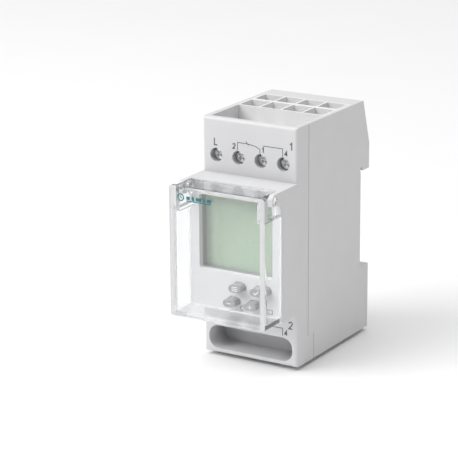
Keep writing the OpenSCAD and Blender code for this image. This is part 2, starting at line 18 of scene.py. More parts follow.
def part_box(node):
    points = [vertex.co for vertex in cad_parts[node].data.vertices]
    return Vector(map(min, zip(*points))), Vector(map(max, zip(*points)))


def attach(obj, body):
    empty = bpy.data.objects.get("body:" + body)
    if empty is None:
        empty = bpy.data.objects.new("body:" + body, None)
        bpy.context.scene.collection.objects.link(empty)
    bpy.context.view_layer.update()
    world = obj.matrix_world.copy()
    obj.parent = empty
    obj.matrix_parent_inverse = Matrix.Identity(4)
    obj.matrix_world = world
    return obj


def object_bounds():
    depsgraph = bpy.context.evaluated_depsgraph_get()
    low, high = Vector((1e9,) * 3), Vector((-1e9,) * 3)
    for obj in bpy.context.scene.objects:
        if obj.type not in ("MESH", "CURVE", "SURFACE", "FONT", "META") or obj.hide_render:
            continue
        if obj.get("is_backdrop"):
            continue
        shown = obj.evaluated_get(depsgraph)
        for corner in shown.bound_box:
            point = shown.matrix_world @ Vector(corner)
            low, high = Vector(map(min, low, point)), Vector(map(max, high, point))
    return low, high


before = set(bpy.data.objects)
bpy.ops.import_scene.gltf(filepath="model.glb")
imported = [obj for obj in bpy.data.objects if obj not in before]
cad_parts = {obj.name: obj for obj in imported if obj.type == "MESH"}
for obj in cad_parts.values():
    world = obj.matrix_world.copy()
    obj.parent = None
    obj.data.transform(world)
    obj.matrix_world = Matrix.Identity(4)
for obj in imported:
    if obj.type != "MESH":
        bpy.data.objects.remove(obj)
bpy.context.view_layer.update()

LOG = logging.getLogger("rail_timer")
MM = 0.001
Point = tuple[float, float]
Colour = tuple[float, float, float]
Socket = bpy.types.NodeSocket


# ---- Finishes ----


class Grain(Enum):
    """Surface of a moulded part: size of the grain in mm and how deep it is in mm."""

    ERODED = (0.11, 0.006)
    SATIN = (0.07, 0.003)
    POLISHED = (0.9, 0.0012)

    @property
    def size(self) -> float:
        """Size of one grain in metres."""
        return self.value[0] * MM

    @property
    def depth(self) -> float:
        """Depth of the grain in metres."""
        return self.value[1] * MM


class Recipe:
    """A node tree while one finish writes it."""

    def __init__(self, name: str) -> None:
        """Starts an empty material.

        Args:
            name: Name of the material.
        """
        self.material = bpy.data.materials.new(name)
        self.material.use_nodes = True
        self.tree = self.material.node_tree
        self.tree.nodes.clear()
        self.output = self.tree.nodes.new("ShaderNodeOutputMaterial")
        self.shader = self.tree.nodes.new("ShaderNodeBsdfPrincipled")
        self.join(self.shader.outputs[0], self.output.inputs["Surface"])
        self.place = self.tree.nodes.new("ShaderNodeTexCoord").outputs["Object"]

    def join(self, source: Socket, target: Socket) -> None:
        """Links an output to an input."""
        self.tree.links.new(source, target)

    def node(self, kind: str, **settings: object) -> bpy.types.Node:
        """Adds a node.

        Args:
            kind: Node type without the ShaderNode prefix.
            **settings: Attributes to set on the node.

        Returns:
            The new node.
        """
        made = self.tree.nodes.new("ShaderNode" + kind)
        for key, value in settings.items():
            setattr(made, key, value)
        return made

    def stretched(self, scale: tuple[float, float, float]) -> Socket:
        """Stretches the object's coordinates.

        Args:
            scale: Factor along each axis.

        Returns:
            The stretched coordinates.
        """
        mapping = self.node("Mapping")
        mapping.inputs["Scale"].default_value = scale
        self.join(self.place, mapping.inputs["Vector"])
        return mapping.outputs["Vector"]

    def noise(
        self,
        size: float,
        detail: float = 2.0,
        roughness: float = 0.5,
        place: Socket | None = None,
    ) -> Socket:
        """A noise over the part.

        Args:
            size: Size of a blotch in metres.
            detail: Octaves of the noise.
            roughness: Share of each finer octave.
            place: Coordinates to use instead of the object's.

        Returns:
            The noise's factor socket.
        """
        made = self.node("TexNoise")
        made.inputs["Scale"].default_value = 1.0 / size
        made.inputs["Detail"].default_value = detail
        made.inputs["Roughness"].default_value = roughness
        self.join(place or self.place, made.inputs["Vector"])
        return made.outputs["Fac"]

    def spread(
        self, source: Socket, low: float, high: float, start: float = 0.3, end: float = 0.7
    ) -> Socket:
        """Maps a value to a range, clamped.

        Args:
            source: The value.
            low: Result where the value is start.
            high: Result where the value is end.
            start: Start of the value's range.
            end: End of the value's range.

        Returns:
            The mapped value.
        """
        made = self.node("MapRange")
        for name, value in (("From Min", start), ("From Max", end), ("To Min", low), ("To Max", high)):
            made.inputs[name].default_value = value
        self.join(source, made.inputs["Value"])
        return made.outputs["Result"]

    def blend(
        self, factor: Socket, first: Colour | Socket, second: Colour
    ) -> Socket:
        """Mixes two colours.

        Args:
            factor: Share of the second colour.
            first: Colour at factor 0.
            second: Colour at factor 1.

        Returns:
            The mixed colour.
        """
        made = self.node("Mix", data_type="RGBA")
        self.join(factor, made.inputs["Factor"])
        if isinstance(first, Socket):
            self.join(first, made.inputs["A"])
        else:
            made.inputs["A"].default_value = (*first, 1.0)
        made.inputs["B"].default_value = (*second, 1.0)
        return made.outputs["Result"]

    def mix(
        self, factor: Socket, first: Socket | float, second: Socket | float
    ) -> Socket:
        """Mixes two numbers.

        Args:
            factor: Share of the second number.
            first: Number at factor 0.
            second: Number at factor 1.

        Returns:
            The mixed number.
        """
        made = self.node("Mix", data_type="FLOAT")
        self.join(factor, made.inputs["Factor"])
        for name, value in (("A", first), ("B", second)):
            if isinstance(value, Socket):
                self.join(value, made.inputs[name])
            else:
                made.inputs[name].default_value = value
        return made.outputs["Result"]

    def product(self, first: Socket, second: Socket) -> Socket:
        """Multiplies two factors.

        Args:
            first: One factor.
            second: The other factor.

        Returns:
            Their product.
        """
        made = self.node("Math", operation="MULTIPLY")
        self.join(first, made.inputs[0])
        self.join(second, made.inputs[1])
        return made.outputs[0]

    def parts(self, vector: Socket) -> dict[str, Socket]:
        """Sizes of a vector's three parts, without sign.

        Args:
            vector: The vector's socket.

        Returns:
            One socket for each of X, Y and Z.
        """
        split = self.node("SeparateXYZ")
        self.join(vector, split.inputs[0])
        sizes = {}
        for axis in "XYZ":
            size = self.node("Math", operation="ABSOLUTE")
            self.join(split.outputs[axis], size.inputs[0])
            sizes[axis] = size.outputs[0]
        return sizes

    def edge(self, radius: float) -> tuple[Socket, Socket]:
        """Finds the rounded edges of the part.

        Args:
            radius: Radius of the rounding in metres.

        Returns:
            A factor that is 1 on an edge, and the rounded normal.
        """
        rounded = self.node("Bevel", samples=4)
        rounded.inputs["Radius"].default_value = radius
        flat = self.node("NewGeometry")
        facing = self.node("VectorMath", operation="DOT_PRODUCT")
        self.join(rounded.outputs["Normal"], facing.inputs[0])
        self.join(flat.outputs["Normal"], facing.inputs[1])
        return self.spread(facing.outputs["Value"], 1.0, 0.0, 0.75, 0.99), rounded.outputs["Normal"]

    def recess_shade(self, reach: float) -> Socket:
        """A factor for painted shade that grows from 0 to 1 in deep recesses.

        Args:
            reach: How far the walls of a recess may be, in metres.

        Returns:
            The factor's socket.
        """
        made = self.node("AmbientOcclusion", samples=6, only_local=True)
        made.inputs["Distance"].default_value = reach
        return self.spread(made.outputs["AO"], 1.0, 0.0, 0.15, 0.6)

    def bump(
        self, height: Socket, depth: float, normal: Socket | None = None
    ) -> None:
        """Feeds a height into the shader's normal.

        Args:
            height: Height factor.
            depth: Depth in metres at factor 1.
            normal: Normal to start from.
        """
        made = self.node("Bump")
        made.inputs["Strength"].default_value = 1.0
        made.inputs["Distance"].default_value = depth
        self.join(height, made.inputs["Height"])
        if normal is not None:
            self.join(normal, made.inputs["Normal"])
        self.join(made.outputs["Normal"], self.shader.inputs["Normal"])

    def put(self, **values: object) -> None:
        """Sets or links sockets of the shader.

        Args:
            **values: Value or source for each socket; underscores stand for spaces.
        """
        for key, value in values.items():
            socket = self.shader.inputs[key.replace("_", " ")]
            if isinstance(value, Socket):
                self.join(value, socket)
            else:
                socket.default_value = value


@dataclass(frozen=True)
class MouldedPlastic:
    """Thermoplastic straight from the mould, with its grain, a painted highlight along its rounded
    edges and, where asked, painted shade in its recesses.
    """

    name: str
    colour: Colour
    grain: Grain = Grain.ERODED
    roughness: float = 0.5
    edge_radius: float = 0.2
    edge_highlight: float = 1.06
    mottle: float = 0.03
    shade: float = 1.0

    def material(self) -> bpy.types.Material:
        """Writes the material.

        Returns:
            The finished material.
        """
        recipe = Recipe(self.name)
        cloud = recipe.noise(9 * MM, 3.0)
        darker = tuple(c * (1 - self.mottle) for c in self.colour)
        base = recipe.blend(recipe.spread(cloud, 0, 1), darker, self.colour)
        edge, normal = recipe.edge(self.edge_radius * MM)
        # Lighter along the rounded edges: a painted highlight.
        edge_highlight_colour = tuple(min(0.95, c * self.edge_highlight) for c in self.colour)
        smear = recipe.noise(2.2 * MM, 4.0, 0.6)
        # Darker in deep recesses: painted shade from an ambient occlusion factor.
        if self.shade < 1.0:
            recess_shade_colour = tuple(c * self.shade for c in self.colour)
            base = recipe.blend(recipe.recess_shade(9 * MM), base, recess_shade_colour)
        recipe.put(
            Base_Color=recipe.blend(edge, base, edge_highlight_colour),
            Roughness=recipe.spread(smear, self.roughness - 0.05, self.roughness + 0.05),
            Specular_IOR_Level=0.45,
        )
        recipe.bump(recipe.noise(self.grain.size, 2.0, 0.6), self.grain.depth, normal)
        return recipe.material


@dataclass(frozen=True)
class ClearPlastic:
    """Polished clear polycarbonate with a painted glow where the side walls are seen end-on; faces
    that look up or down are greyer and a little rougher.
    """

    name: str
    tint: Colour = (0.985, 0.99, 0.995)
    ledge_grey: Colour = (0.8, 0.805, 0.815)
    painted_glow: Colour = (0.74, 0.745, 0.755)
    index: float = 1.49
    side_clear: float = 0.97
    end_clear: float = 0.4
    wall_from: float = 16.1
    wall_fade: float = 0.25
    facing: tuple[float, float] = (0.4, 0.8)
    polish: tuple[float, float] = (0.012, 0.04)
    ledge_rough: float = 0.1
    ripple: float = 0.002

    def material(self) -> bpy.types.Material:
        """Writes the material.

        Returns:
            The finished material.
        """
        recipe = Recipe(self.name)
        normal = recipe.parts(recipe.node("TexCoord").outputs["Normal"])
        frontal = recipe.spread(normal["Y"], 0.0, 1.0, *self.facing)
        ledge = recipe.spread(normal["Z"], 0.0, 1.0, *self.facing)
        across = recipe.parts(recipe.place)["X"]
        start = self.wall_from * MM
        end_on = recipe.spread(across, 0.0, 1.0, start, start + self.wall_fade * MM)
        smooth = recipe.spread(recipe.noise(6 * MM, 3.0), *self.polish)
        # Where a side wall is seen end-on the cover is whiter and less clear: a painted glow that
        # stands in for light carried along the wall.
        glow_mask = recipe.product(frontal, end_on)
        recipe.put(
            Base_Color=recipe.blend(glow_mask, recipe.blend(ledge, self.tint, self.ledge_grey), self.painted_glow),
            Transmission_Weight=recipe.mix(glow_mask, self.side_clear, self.end_clear),
            IOR=self.index,
            Roughness=recipe.mix(ledge, smooth, self.ledge_rough),
            Specular_IOR_Level=0.5,
        )
        flow = recipe.noise(9 * MM, 1.0, 0.4, recipe.stretched((1.0, 1.0, 0.35)))
        recipe.bump(flow, self.ripple * MM)
        lamp = recipe.node("LightPath")
        through = recipe.node("BsdfTransparent")
        mix = recipe.node("MixShader")
        recipe.join(lamp.outputs["Is Shadow Ray"], mix.inputs[0])
        recipe.join(recipe.shader.outputs[0], mix.inputs[1])
        recipe.join(through.outputs[0], mix.inputs[2])
        recipe.join(mix.outputs[0], recipe.output.inputs["Surface"])
        return recipe.material


@dataclass(frozen=True)
class PlatedMetal:
    """Plated or drawn metal: brushed lines, cloudy roughness, a painted highlight along the edges."""

    name: str
    colour: Colour
    roughness: float = 0.28
    lines: tuple[float, float, float] = (1.0, 1.0, 8.0)

    def material(self) -> bpy.types.Material:
        """Writes the material.

        Returns:
            The finished material.
        """
        recipe = Recipe(self.name)
        scratch = recipe.noise(0.25 * MM, 3.0, 0.6, recipe.stretched(self.lines))
        dull = tuple(c * 0.82 for c in self.colour)
        base = recipe.blend(recipe.spread(recipe.noise(1.4 * MM, 3.0), 0, 1), dull, self.colour)
        edge, normal = recipe.edge(0.08 * MM)
        # Brighter along the rounded edges: a painted highlight.
        bright = tuple(min(0.96, c * 1.2) for c in self.colour)
        recipe.put(
            Base_Color=recipe.blend(edge, base, bright),
            Metallic=1.0,
            Roughness=recipe.spread(scratch, self.roughness - 0.08, self.roughness + 0.1),
        )
        recipe.bump(scratch, 0.004 * MM, normal)
        return recipe.material


@dataclass(frozen=True)
class DisplayPanel:
    """Reflective liquid crystal panel: pale green, warmer at its left end, and lighter there with
    painted light against the shadow of its recess.
    """

    name: str
    green: Colour
    lit_warm: Colour
    left: float
    right: float
    lit_share: float = 0.22

    def material(self) -> bpy.types.Material:
        """Writes the material.

        Returns:
            The finished material.
        """
        recipe = Recipe(self.name)
        split = recipe.node("SeparateXYZ")
        recipe.join(recipe.place, split.inputs[0])
        # The left end is warmer and lighter; the lighter part is painted light that lifts the recess's
        # shadow there.
        lit_end = self.left + self.lit_share * (self.right - self.left)
        across = recipe.spread(split.outputs["X"], 1.0, 0.0, self.left, lit_end)
        cloud = recipe.spread(recipe.noise(5 * MM, 2.0), 0, 1)
        deeper = tuple(c * 0.965 for c in self.green)
        panel = recipe.blend(cloud, self.green, deeper)
        recipe.put(
            Base_Color=recipe.blend(across, panel, self.lit_warm),
            Roughness=recipe.spread(recipe.noise(0.6 * MM, 2.0), 0.22, 0.3),
            Coat_Weight=0.6,
            Coat_Roughness=0.08,
        )
        recipe.bump(recipe.noise(0.12 * MM, 2.0), 0.002 * MM)
        return recipe.material


@dataclass(frozen=True)
class CircuitLaminate:
    """Solder resist over copper: board green with paler track lines under it."""

    name: str
    colour: Colour = (0.035, 0.16, 0.07)

    def material(self) -> bpy.types.Material:
        """Writes the material.

        Returns:
            The finished material.
        """
        recipe = Recipe(self.name)
        track = recipe.node("TexVoronoi", feature="DISTANCE_TO_EDGE", distance="MANHATTAN")
        track.inputs["Scale"].default_value = 1 / (3.2 * MM)
        recipe.join(recipe.place, track.inputs["Vector"])
        line = recipe.spread(track.outputs["Distance"], 1.0, 0.0, 0.02, 0.07)
        copper = tuple(c * 1.9 for c in self.colour)
        recipe.put(
            Base_Color=recipe.blend(line, self.colour, copper),
            Roughness=recipe.spread(recipe.noise(1 * MM), 0.3, 0.42),
            Coat_Weight=0.3,
            Coat_Roughness=0.2,
        )
        recipe.bump(line, 0.035 * MM)
        return recipe.material


@dataclass(frozen=True)
class PadInk:
    """Pad-printed ink: a thin even film with slightly broken edges."""

    name: str
    colour: Colour

    def material(self) -> bpy.types.Material:
        """Writes the material.

        Returns:
            The finished material.
        """
        recipe = Recipe(self.name)
        paler = tuple(min(1.0, c * 1.3 + 0.02) for c in self.colour)
        specks = recipe.spread(recipe.noise(0.09 * MM, 3.0, 0.7), 0, 1, 0.45, 0.75)
        recipe.put(
            Base_Color=recipe.blend(specks, self.colour, paler),
            Roughness=recipe.spread(recipe.noise(0.3 * MM), 0.45, 0.6),
        )
        recipe.bump(recipe.noise(0.1 * MM, 2.0), 0.003 * MM)
        return recipe.material


@dataclass(frozen=True)
class Lacquer:
    """Glossy dipped or wound skin of an electronic part."""

    name: str
    colour: Colour
    roughness: float = 0.3
    wave: float = 1.0

    def material(self) -> bpy.types.Material:
        """Writes the material.

        Returns:
            The finished material.
        """
        recipe = Recipe(self.name)
        cloud = recipe.spread(recipe.noise(2.4 * MM, 3.0), 0, 1)
        darker = tuple(c * 0.8 for c in self.colour)
        recipe.put(
            Base_Color=recipe.blend(cloud, darker, self.colour),
            Roughness=recipe.spread(
                recipe.noise(0.8 * MM), self.roughness - 0.06, self.roughness + 0.08
            ),
            Coat_Weight=0.25,
            Coat_Roughness=0.15,
        )
        recipe.bump(recipe.noise(self.wave * MM, 2.0), 0.02 * MM)
        return recipe.material


@dataclass(frozen=True)
class Winding:
    """Enamelled copper wire wound in layers."""

    name: str
    colour: Colour
    wire: float = 0.3
    bands: float = 3.14

    def material(self) -> bpy.types.Material:
        """Writes the material.

        Returns:
            The finished material.
        """
        recipe = Recipe(self.name)
        turns = recipe.node("TexWave", wave_type="BANDS", bands_direction="Z", wave_profile="SIN")
        turns.inputs["Scale"].default_value = 1 / (self.wire * MM) / self.bands
        turns.inputs["Distortion"].default_value = 0.4
        recipe.join(recipe.place, turns.inputs["Vector"])
        # Darker between the turns: painted shade in the grooves between the wires.
        groove_shade = tuple(c * 0.5 for c in self.colour)
        recipe.put(
            Base_Color=recipe.blend(turns.outputs["Fac"], groove_shade, self.colour),
            Metallic=0.6,
            Roughness=recipe.spread(recipe.noise(0.5 * MM), 0.28, 0.42),
        )
        recipe.bump(turns.outputs["Fac"], 0.06 * MM)
        return recipe.material


# ---- Shared shaping ----


def paint(piece: bpy.types.Object, material: bpy.types.Material) -> None:
    """Gives a piece one material in its first slot.

    Args:
        piece: The piece.
        material: Its material.
    """
    if piece.material_slots:
        piece.material_slots[0].material = material
    else:
        piece.data.materials.append(material)


def soften(
    node: str,
    width: float,
    segments: int = 2,
    angle: float = 32.0,
    flat: float = 1.0,
    weld: float = 1e-6,
) -> None:
    """Rounds the sharp edges of a node with modifiers.

    Args:
        node: Name of the node.
        width: Width of the rounding in mm.
        segments: Steps in the rounding.
        angle: Least angle in degrees between faces that counts as an edge.
        flat: Greatest angle in degrees between faces that are joined into one.
        weld: Distance in metres under which corners are one.
    """
    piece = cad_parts[node]
    for face in piece.data.polygons:
        face.use_smooth = True
    joined = piece.modifiers.new("weld", "WELD")
    joined.merge_threshold = weld
    faces = piece.modifiers.new("flat_faces", "DECIMATE")
    faces.decimate_type = "DISSOLVE"
    faces.angle_limit = math.radians(flat)
    bevel = piece.modifiers.new("edges", "BEVEL")
    bevel.width = width * MM
    bevel.segments = segments
    bevel.limit_method = "ANGLE"
    bevel.angle_limit = math.radians(angle)
    bevel.use_clamp_overlap = False
    bevel.miter_outer = "MITER_ARC"
    normals = piece.modifiers.new("normals", "WEIGHTED_NORMAL")
    normals.keep_sharp = False


@dataclass
class Stroke:
    """A printed line of even width through points in millimetres."""

    points: list[Point]
    width: float = 0.28
    closed: bool = False
    mitre_least: float = 0.35

    def sides(self) -> list[tuple[Vector, Vector]]:
        """Left and right border points at each point, mitred at the corners.

        Returns:
            One pair of border points for each point of the line.
        """
        line = [Vector(p) for p in self.points]
        count = len(line)
        pairs = []
        for i, here in enumerate(line):
            before = line[(i - 1) % count] if self.closed or i > 0 else None
            after = line[(i + 1) % count] if self.closed or i < count - 1 else None
            ways = [(here - before).normalized()] if before is not None else []
            ways += [(after - here).normalized()] if after is not None else []
            way = sum(ways, Vector((0, 0))).normalized()
            across = Vector((-way.y, way.x))
            square = Vector((-ways[0].y, ways[0].x))
            reach = self.width / 2 / max(self.mitre_least, across.dot(square))
            pairs.append((here + across * reach, here - across * reach))
        return pairs


def circle_points(
    centre: Point, radius: float, start: float = 0, end: float = 360, steps: int = 28
) -> list[Point]:
    """Points along an arc in millimetres.

    Args:
        centre: Centre of the arc.
        radius: Radius of the arc.
        start: First angle in degrees, anticlockwise from the right.
        end: Last angle in degrees.
        steps: Number of parts; a full circle leaves its last point out.

    Returns:
        The points.
    """
    last = steps if abs(end - start) >= 360 else steps + 1
    angles = [math.radians(start + (end - start) * i / steps) for i in range(last)]
    return [(centre[0] + radius * math.cos(a), centre[1] + radius * math.sin(a)) for a in angles]


def front_middle(node: str) -> Vector:
    """Finds the middle of a node's front.

    Args:
        node: Name of the node.

    Returns:
        The place in metres.
    """
    low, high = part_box(node)
    return Vector(((low.x + high.x) / 2, low.y, (low.z + high.z) / 2))


def print_strokes(
    name: str, strokes: list[Stroke], origin: Vector, film: float = 0.02, sunk: float = 0.01
) -> bpy.types.Object:
    """Builds strokes as one thin closed film on a face that looks towards -Y.

    Args:
        name: Name of the new piece.
        strokes: Lines in millimetres, in X and Z around the origin.
        origin: Place of the strokes' zero point on the face, in metres.
        film: How far the film stands proud, in mm.
        sunk: How far it reaches into the face, in mm.

    Returns:
        The new object.
    """
    mesh = bmesh.new()
    for stroke in strokes:
        rings = []
        for left, right in stroke.sides():
            corners = [(left, -film), (right, -film), (right, sunk), (left, sunk)]
            rings.append([mesh.verts.new(origin + Vector((p.x, y, p.y)) * MM) for p, y in corners])
        following = rings[1:] + rings[:1] if stroke.closed else rings[1:]
        for first, second in zip(rings, following):
            for k in range(4):
                n = (k + 1) % 4
                mesh.faces.new((first[k], first[n], second[n], second[k]))
        if not stroke.closed:
            mesh.faces.new(rings[0][::-1])
            mesh.faces.new(rings[-1])
    bmesh.ops.recalc_face_normals(mesh, faces=mesh.faces)
    data = bpy.data.meshes.new(name)
    mesh.to_mesh(data)
    mesh.free()
    piece = bpy.data.objects.new(name, data)
    bpy.context.scene.collection.objects.link(piece)
    return piece


class Numeral(Enum):
    """Plain terminal numerals, drawn in a cell 0.6 wide and 1 high."""

    ONE = ([(0.08, 0.74), (0.34, 1.0), (0.34, 0.0)],)
    TWO = (
        [(0.03, 0.76), (0.1, 0.93), (0.3, 1.0), (0.5, 0.93), (0.56, 0.74), (0.46, 0.52),
         (0.03, 0.0), (0.58, 0.0)],
    )
    FOUR = ([(0.44, 0.0), (0.44, 1.0), (0.02, 0.3), (0.6, 0.3)],)
    LINE = ([(0.06, 1.0), (0.06, 0.0), (0.52, 0.0)],)

    @property
    def middle(self) -> Point:
        """Middle of the cell."""
        return (0.3, 0.5)

    def strokes(self, at: Point, height: float, width: float) -> list[Stroke]:
        """Strokes of the numeral.

        Args:
            at: Middle of the numeral in millimetres.
            height: Height in millimetres.
            width: Line width in millimetres.

        Returns:
            The strokes.
        """
        x0, z0 = self.middle
        return [
            Stroke([(at[0] + (x - x0) * height, at[1] + (z - z0) * height) for x, z in line], width)
            for line in self.value
        ]


# ---- Sub-assemblies ----


@dataclass
class Housing:
    """The two shells, the entry grid, the terminal block and the rail latch."""

    face_grey: Colour = (0.705, 0.705, 0.715)
    base_grey: Colour = (0.715, 0.715, 0.72)
    grid_grey: Colour = (0.86, 0.86, 0.865)
    block_grey: Colour = (0.82, 0.82, 0.83)

    def dress(self) -> None:
        """Paints the shells and their inserts."""
        # The face shell gets painted shade, darker in its recesses and near the cover's walls.
        face = MouldedPlastic("housing_face", self.face_grey, shade=0.45).material()
        base = MouldedPlastic("housing_base", self.base_grey).material()
        grid = MouldedPlastic("entry_grid", self.grid_grey).material()
        inner = MouldedPlastic("terminal_block", self.block_grey, Grain.SATIN).material()
        latch = MouldedPlastic("latch_plastic", (0.7, 0.7, 0.71), Grain.SATIN, 0.42).material()
        for node, material in (
            ("front_housing", face),
            ("rear_base", base),
            ("wire_entry_grid", grid),
            ("terminal_carrier", inner),
            ("rail_latch", latch),
        ):
            paint(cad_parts[node], material)


@dataclass
class Terminals:
    """Screws, cages, contact bars and the neutral clamp."""

    count: int = 4
    bright: Colour = (0.93, 0.94, 0.95)
    steel: Colour = (0.78, 0.79, 0.8)
    copper: Colour = (0.72, 0.5, 0.34)
    screw_edge: float = 0.12

    def build(self) -> None:
        """Breaks the edges of the screws."""
        for i in range(1, self.count + 1):
            soften(f"terminal_screw_{i}", self.screw_edge)

    def dress(self) -> None:
        """Paints screws, cages, bars and every spring of the device."""
        screw = PlatedMetal("screw_zinc", self.bright, 0.3, (6.0, 6.0, 1.0)).material()
        cage = PlatedMetal("cage_zinc", tuple(c * 0.9 for c in self.steel), 0.35).material()
        bar = PlatedMetal("bar_tinned_copper", self.copper, 0.3).material()
        spring = PlatedMetal("spring_steel", (0.6, 0.61, 0.63), 0.25).material()
        for i in range(1, self.count + 1):
            paint(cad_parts[f"terminal_screw_{i}"], screw)
            paint(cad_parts[f"terminal_cage_{i}"], cage)
            paint(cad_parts[f"contact_bar_{i}"], bar)
        paint(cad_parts["neutral_bar"], bar)
        for node in ("neutral_springs", "latch_spring", "battery_clip"):
            paint(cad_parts[node], spring)


@dataclass
class DisplayStack:
    """Panel, frame, light guide, contact strips and board behind the window."""

    green: Colour = (0.372, 0.483, 0.363)
    # Colour of the panel's left end: warm, and lighter as painted light against the recess's shadow.
    lit_warm: Colour = (0.56, 0.66, 0.52)

    def dress(self) -> None:
        """Paints the pieces of the display."""
        low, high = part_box("lcd_frame")
        panel = DisplayPanel("lcd_panel", self.green, self.lit_warm, low.x, high.x)
        paint(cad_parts["lcd_glass"], panel.material())
        plain = (
            ("lcd_frame", MouldedPlastic("frame_dark", (0.3, 0.3, 0.315), Grain.SATIN, 0.5, 0.05)),
            ("lcd_backlight", MouldedPlastic("light_guide", (0.86, 0.88, 0.82), Grain.POLISHED, 0.25)),
            ("zebra_strips", MouldedPlastic("contact_rubber", (0.03, 0.03, 0.032), Grain.SATIN, 0.7)),
        )
        for node, finish in plain:
            paint(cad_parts[node], finish.material())
        laminate = CircuitLaminate("board_laminate").material()
        for node in ("display_board", "mains_board"):
            paint(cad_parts[node], laminate)


class Legend(Enum):
    """What is printed on a key, as strokes around the key's middle in millimetres."""

    LIST = ([(-1.1, 0.62), (1.1, 0.62)], [(-1.1, 0.0), (1.1, 0.0)], [(-1.1, -0.62), (1.1, -0.62)])
    TICK = ([(-0.9, 0.05), (-0.25, -0.6), (0.95, 0.65)],)
    MINUS = ([(-0.8, 0.0), (0.8, 0.0)],)
    PLUS = ([(-0.8, 0.0), (0.8, 0.0)], [(0.0, -0.8), (0.0, 0.8)])


@dataclass
class Keypad:
    """Four oval keys with a printed sign each."""

    signs: dict[str, Legend] = field(
        default_factory=lambda: {
            "menu": Legend.LIST,
            "ok": Legend.TICK,
            "minus": Legend.MINUS,
            "plus": Legend.PLUS,
        }
    )
    line: float = 0.3
    grey: Colour = (0.31, 0.31, 0.32)
    white: Colour = (0.8, 0.8, 0.8)

    def build(self) -> list[bpy.types.Object]:
        """Prints a sign on each key.

        Returns:
            The printed signs.
        """
        made = []
        for name, sign in self.signs.items():
            strokes = [Stroke(line, self.line) for line in sign.value]
            piece = print_strokes(f"{name}_sign", strokes, front_middle(f"{name}_button"))
            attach(piece, f"{name}_key")
            made.append(piece)
        return made

    def dress(self, signs: list[bpy.types.Object]) -> None:
        """Paints keys, switches and signs.

        Args:
            signs: The printed signs.
        """
        # The keys' edges get a stronger painted highlight (1.15).
        cap = MouldedPlastic("key_cap", self.grey, Grain.SATIN, 0.42, 0.15, 1.15).material()
        switch = MouldedPlastic("switch_body", (0.04, 0.04, 0.045), Grain.SATIN, 0.5, 0.1).material()
        ink = PadInk("sign_ink", self.white).material()
        for name in self.signs:
            paint(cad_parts[f"{name}_button"], cap)
        plungers = [f"switch_plunger_{i}" for i in range(1, len(self.signs) + 1)]
        for node in ["tact_switches", *plungers]:
            paint(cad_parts[node], switch)
        for piece in signs:
            paint(piece, ink)


@dataclass
class Cover:
    """The clear hinged cover and the small mark in its corner."""

    teal: Colour = (0.008, 0.17, 0.185)
    mark_at: Point = (4.5, 3.6)
    mark_r: float = 1.1
    dial_line: float = 0.42
    hand_line: float = 0.36
    long_hand: Point = (0.0, 0.7)
    short_hand: Point = (0.55, -0.3)
    rule_line: float = 0.34
    rule_drop: float = 0.95
    plan_left: float = 2.2
    plan_w: float = 9.4
    plan_h: float = 1.15
    plan: tuple[Point, ...] = ((0.0, 1.3), (2.0, 0.9), (3.6, 2.1), (6.4, 0.7), (7.8, 1.6))

    def build(self) -> bpy.types.Object:
        """Prints a plain clock and a bar of switching times near the cover's upper left corner.

        Returns:
            The printed sign.
        """
        low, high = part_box("clear_cover")
        corner = Vector((low.x, low.y, high.z))
        centre = (self.mark_at[0], -self.mark_at[1])
        dial = Stroke(circle_points(centre, self.mark_r), self.dial_line, True)
        tips = [(centre[0] + x, centre[1] + z) for x, z in (self.long_hand, self.short_hand)]
        hands = Stroke([tips[0], centre, tips[1]], self.hand_line)
        left = centre[0] + self.plan_left
        rule_z = centre[1] - self.rule_drop
        line = Stroke([(left, rule_z), (left + self.plan_w, rule_z)], self.rule_line)
        blocks = [
            Stroke([(left + start, centre[1]), (left + start + length, centre[1])], self.plan_h)
            for start, length in self.plan
        ]
        sign = print_strokes("cover_clock_sign", [dial, hands, line, *blocks], corner)
        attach(sign, "cover")
        return sign

    def dress(self, sign: bpy.types.Object) -> None:
        """Paints the cover and its sign.

        Args:
            sign: The printed sign.
        """
        paint(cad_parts["clear_cover"], ClearPlastic("cover_polycarbonate").material())
        paint(sign, PadInk("sign_teal", self.teal).material())


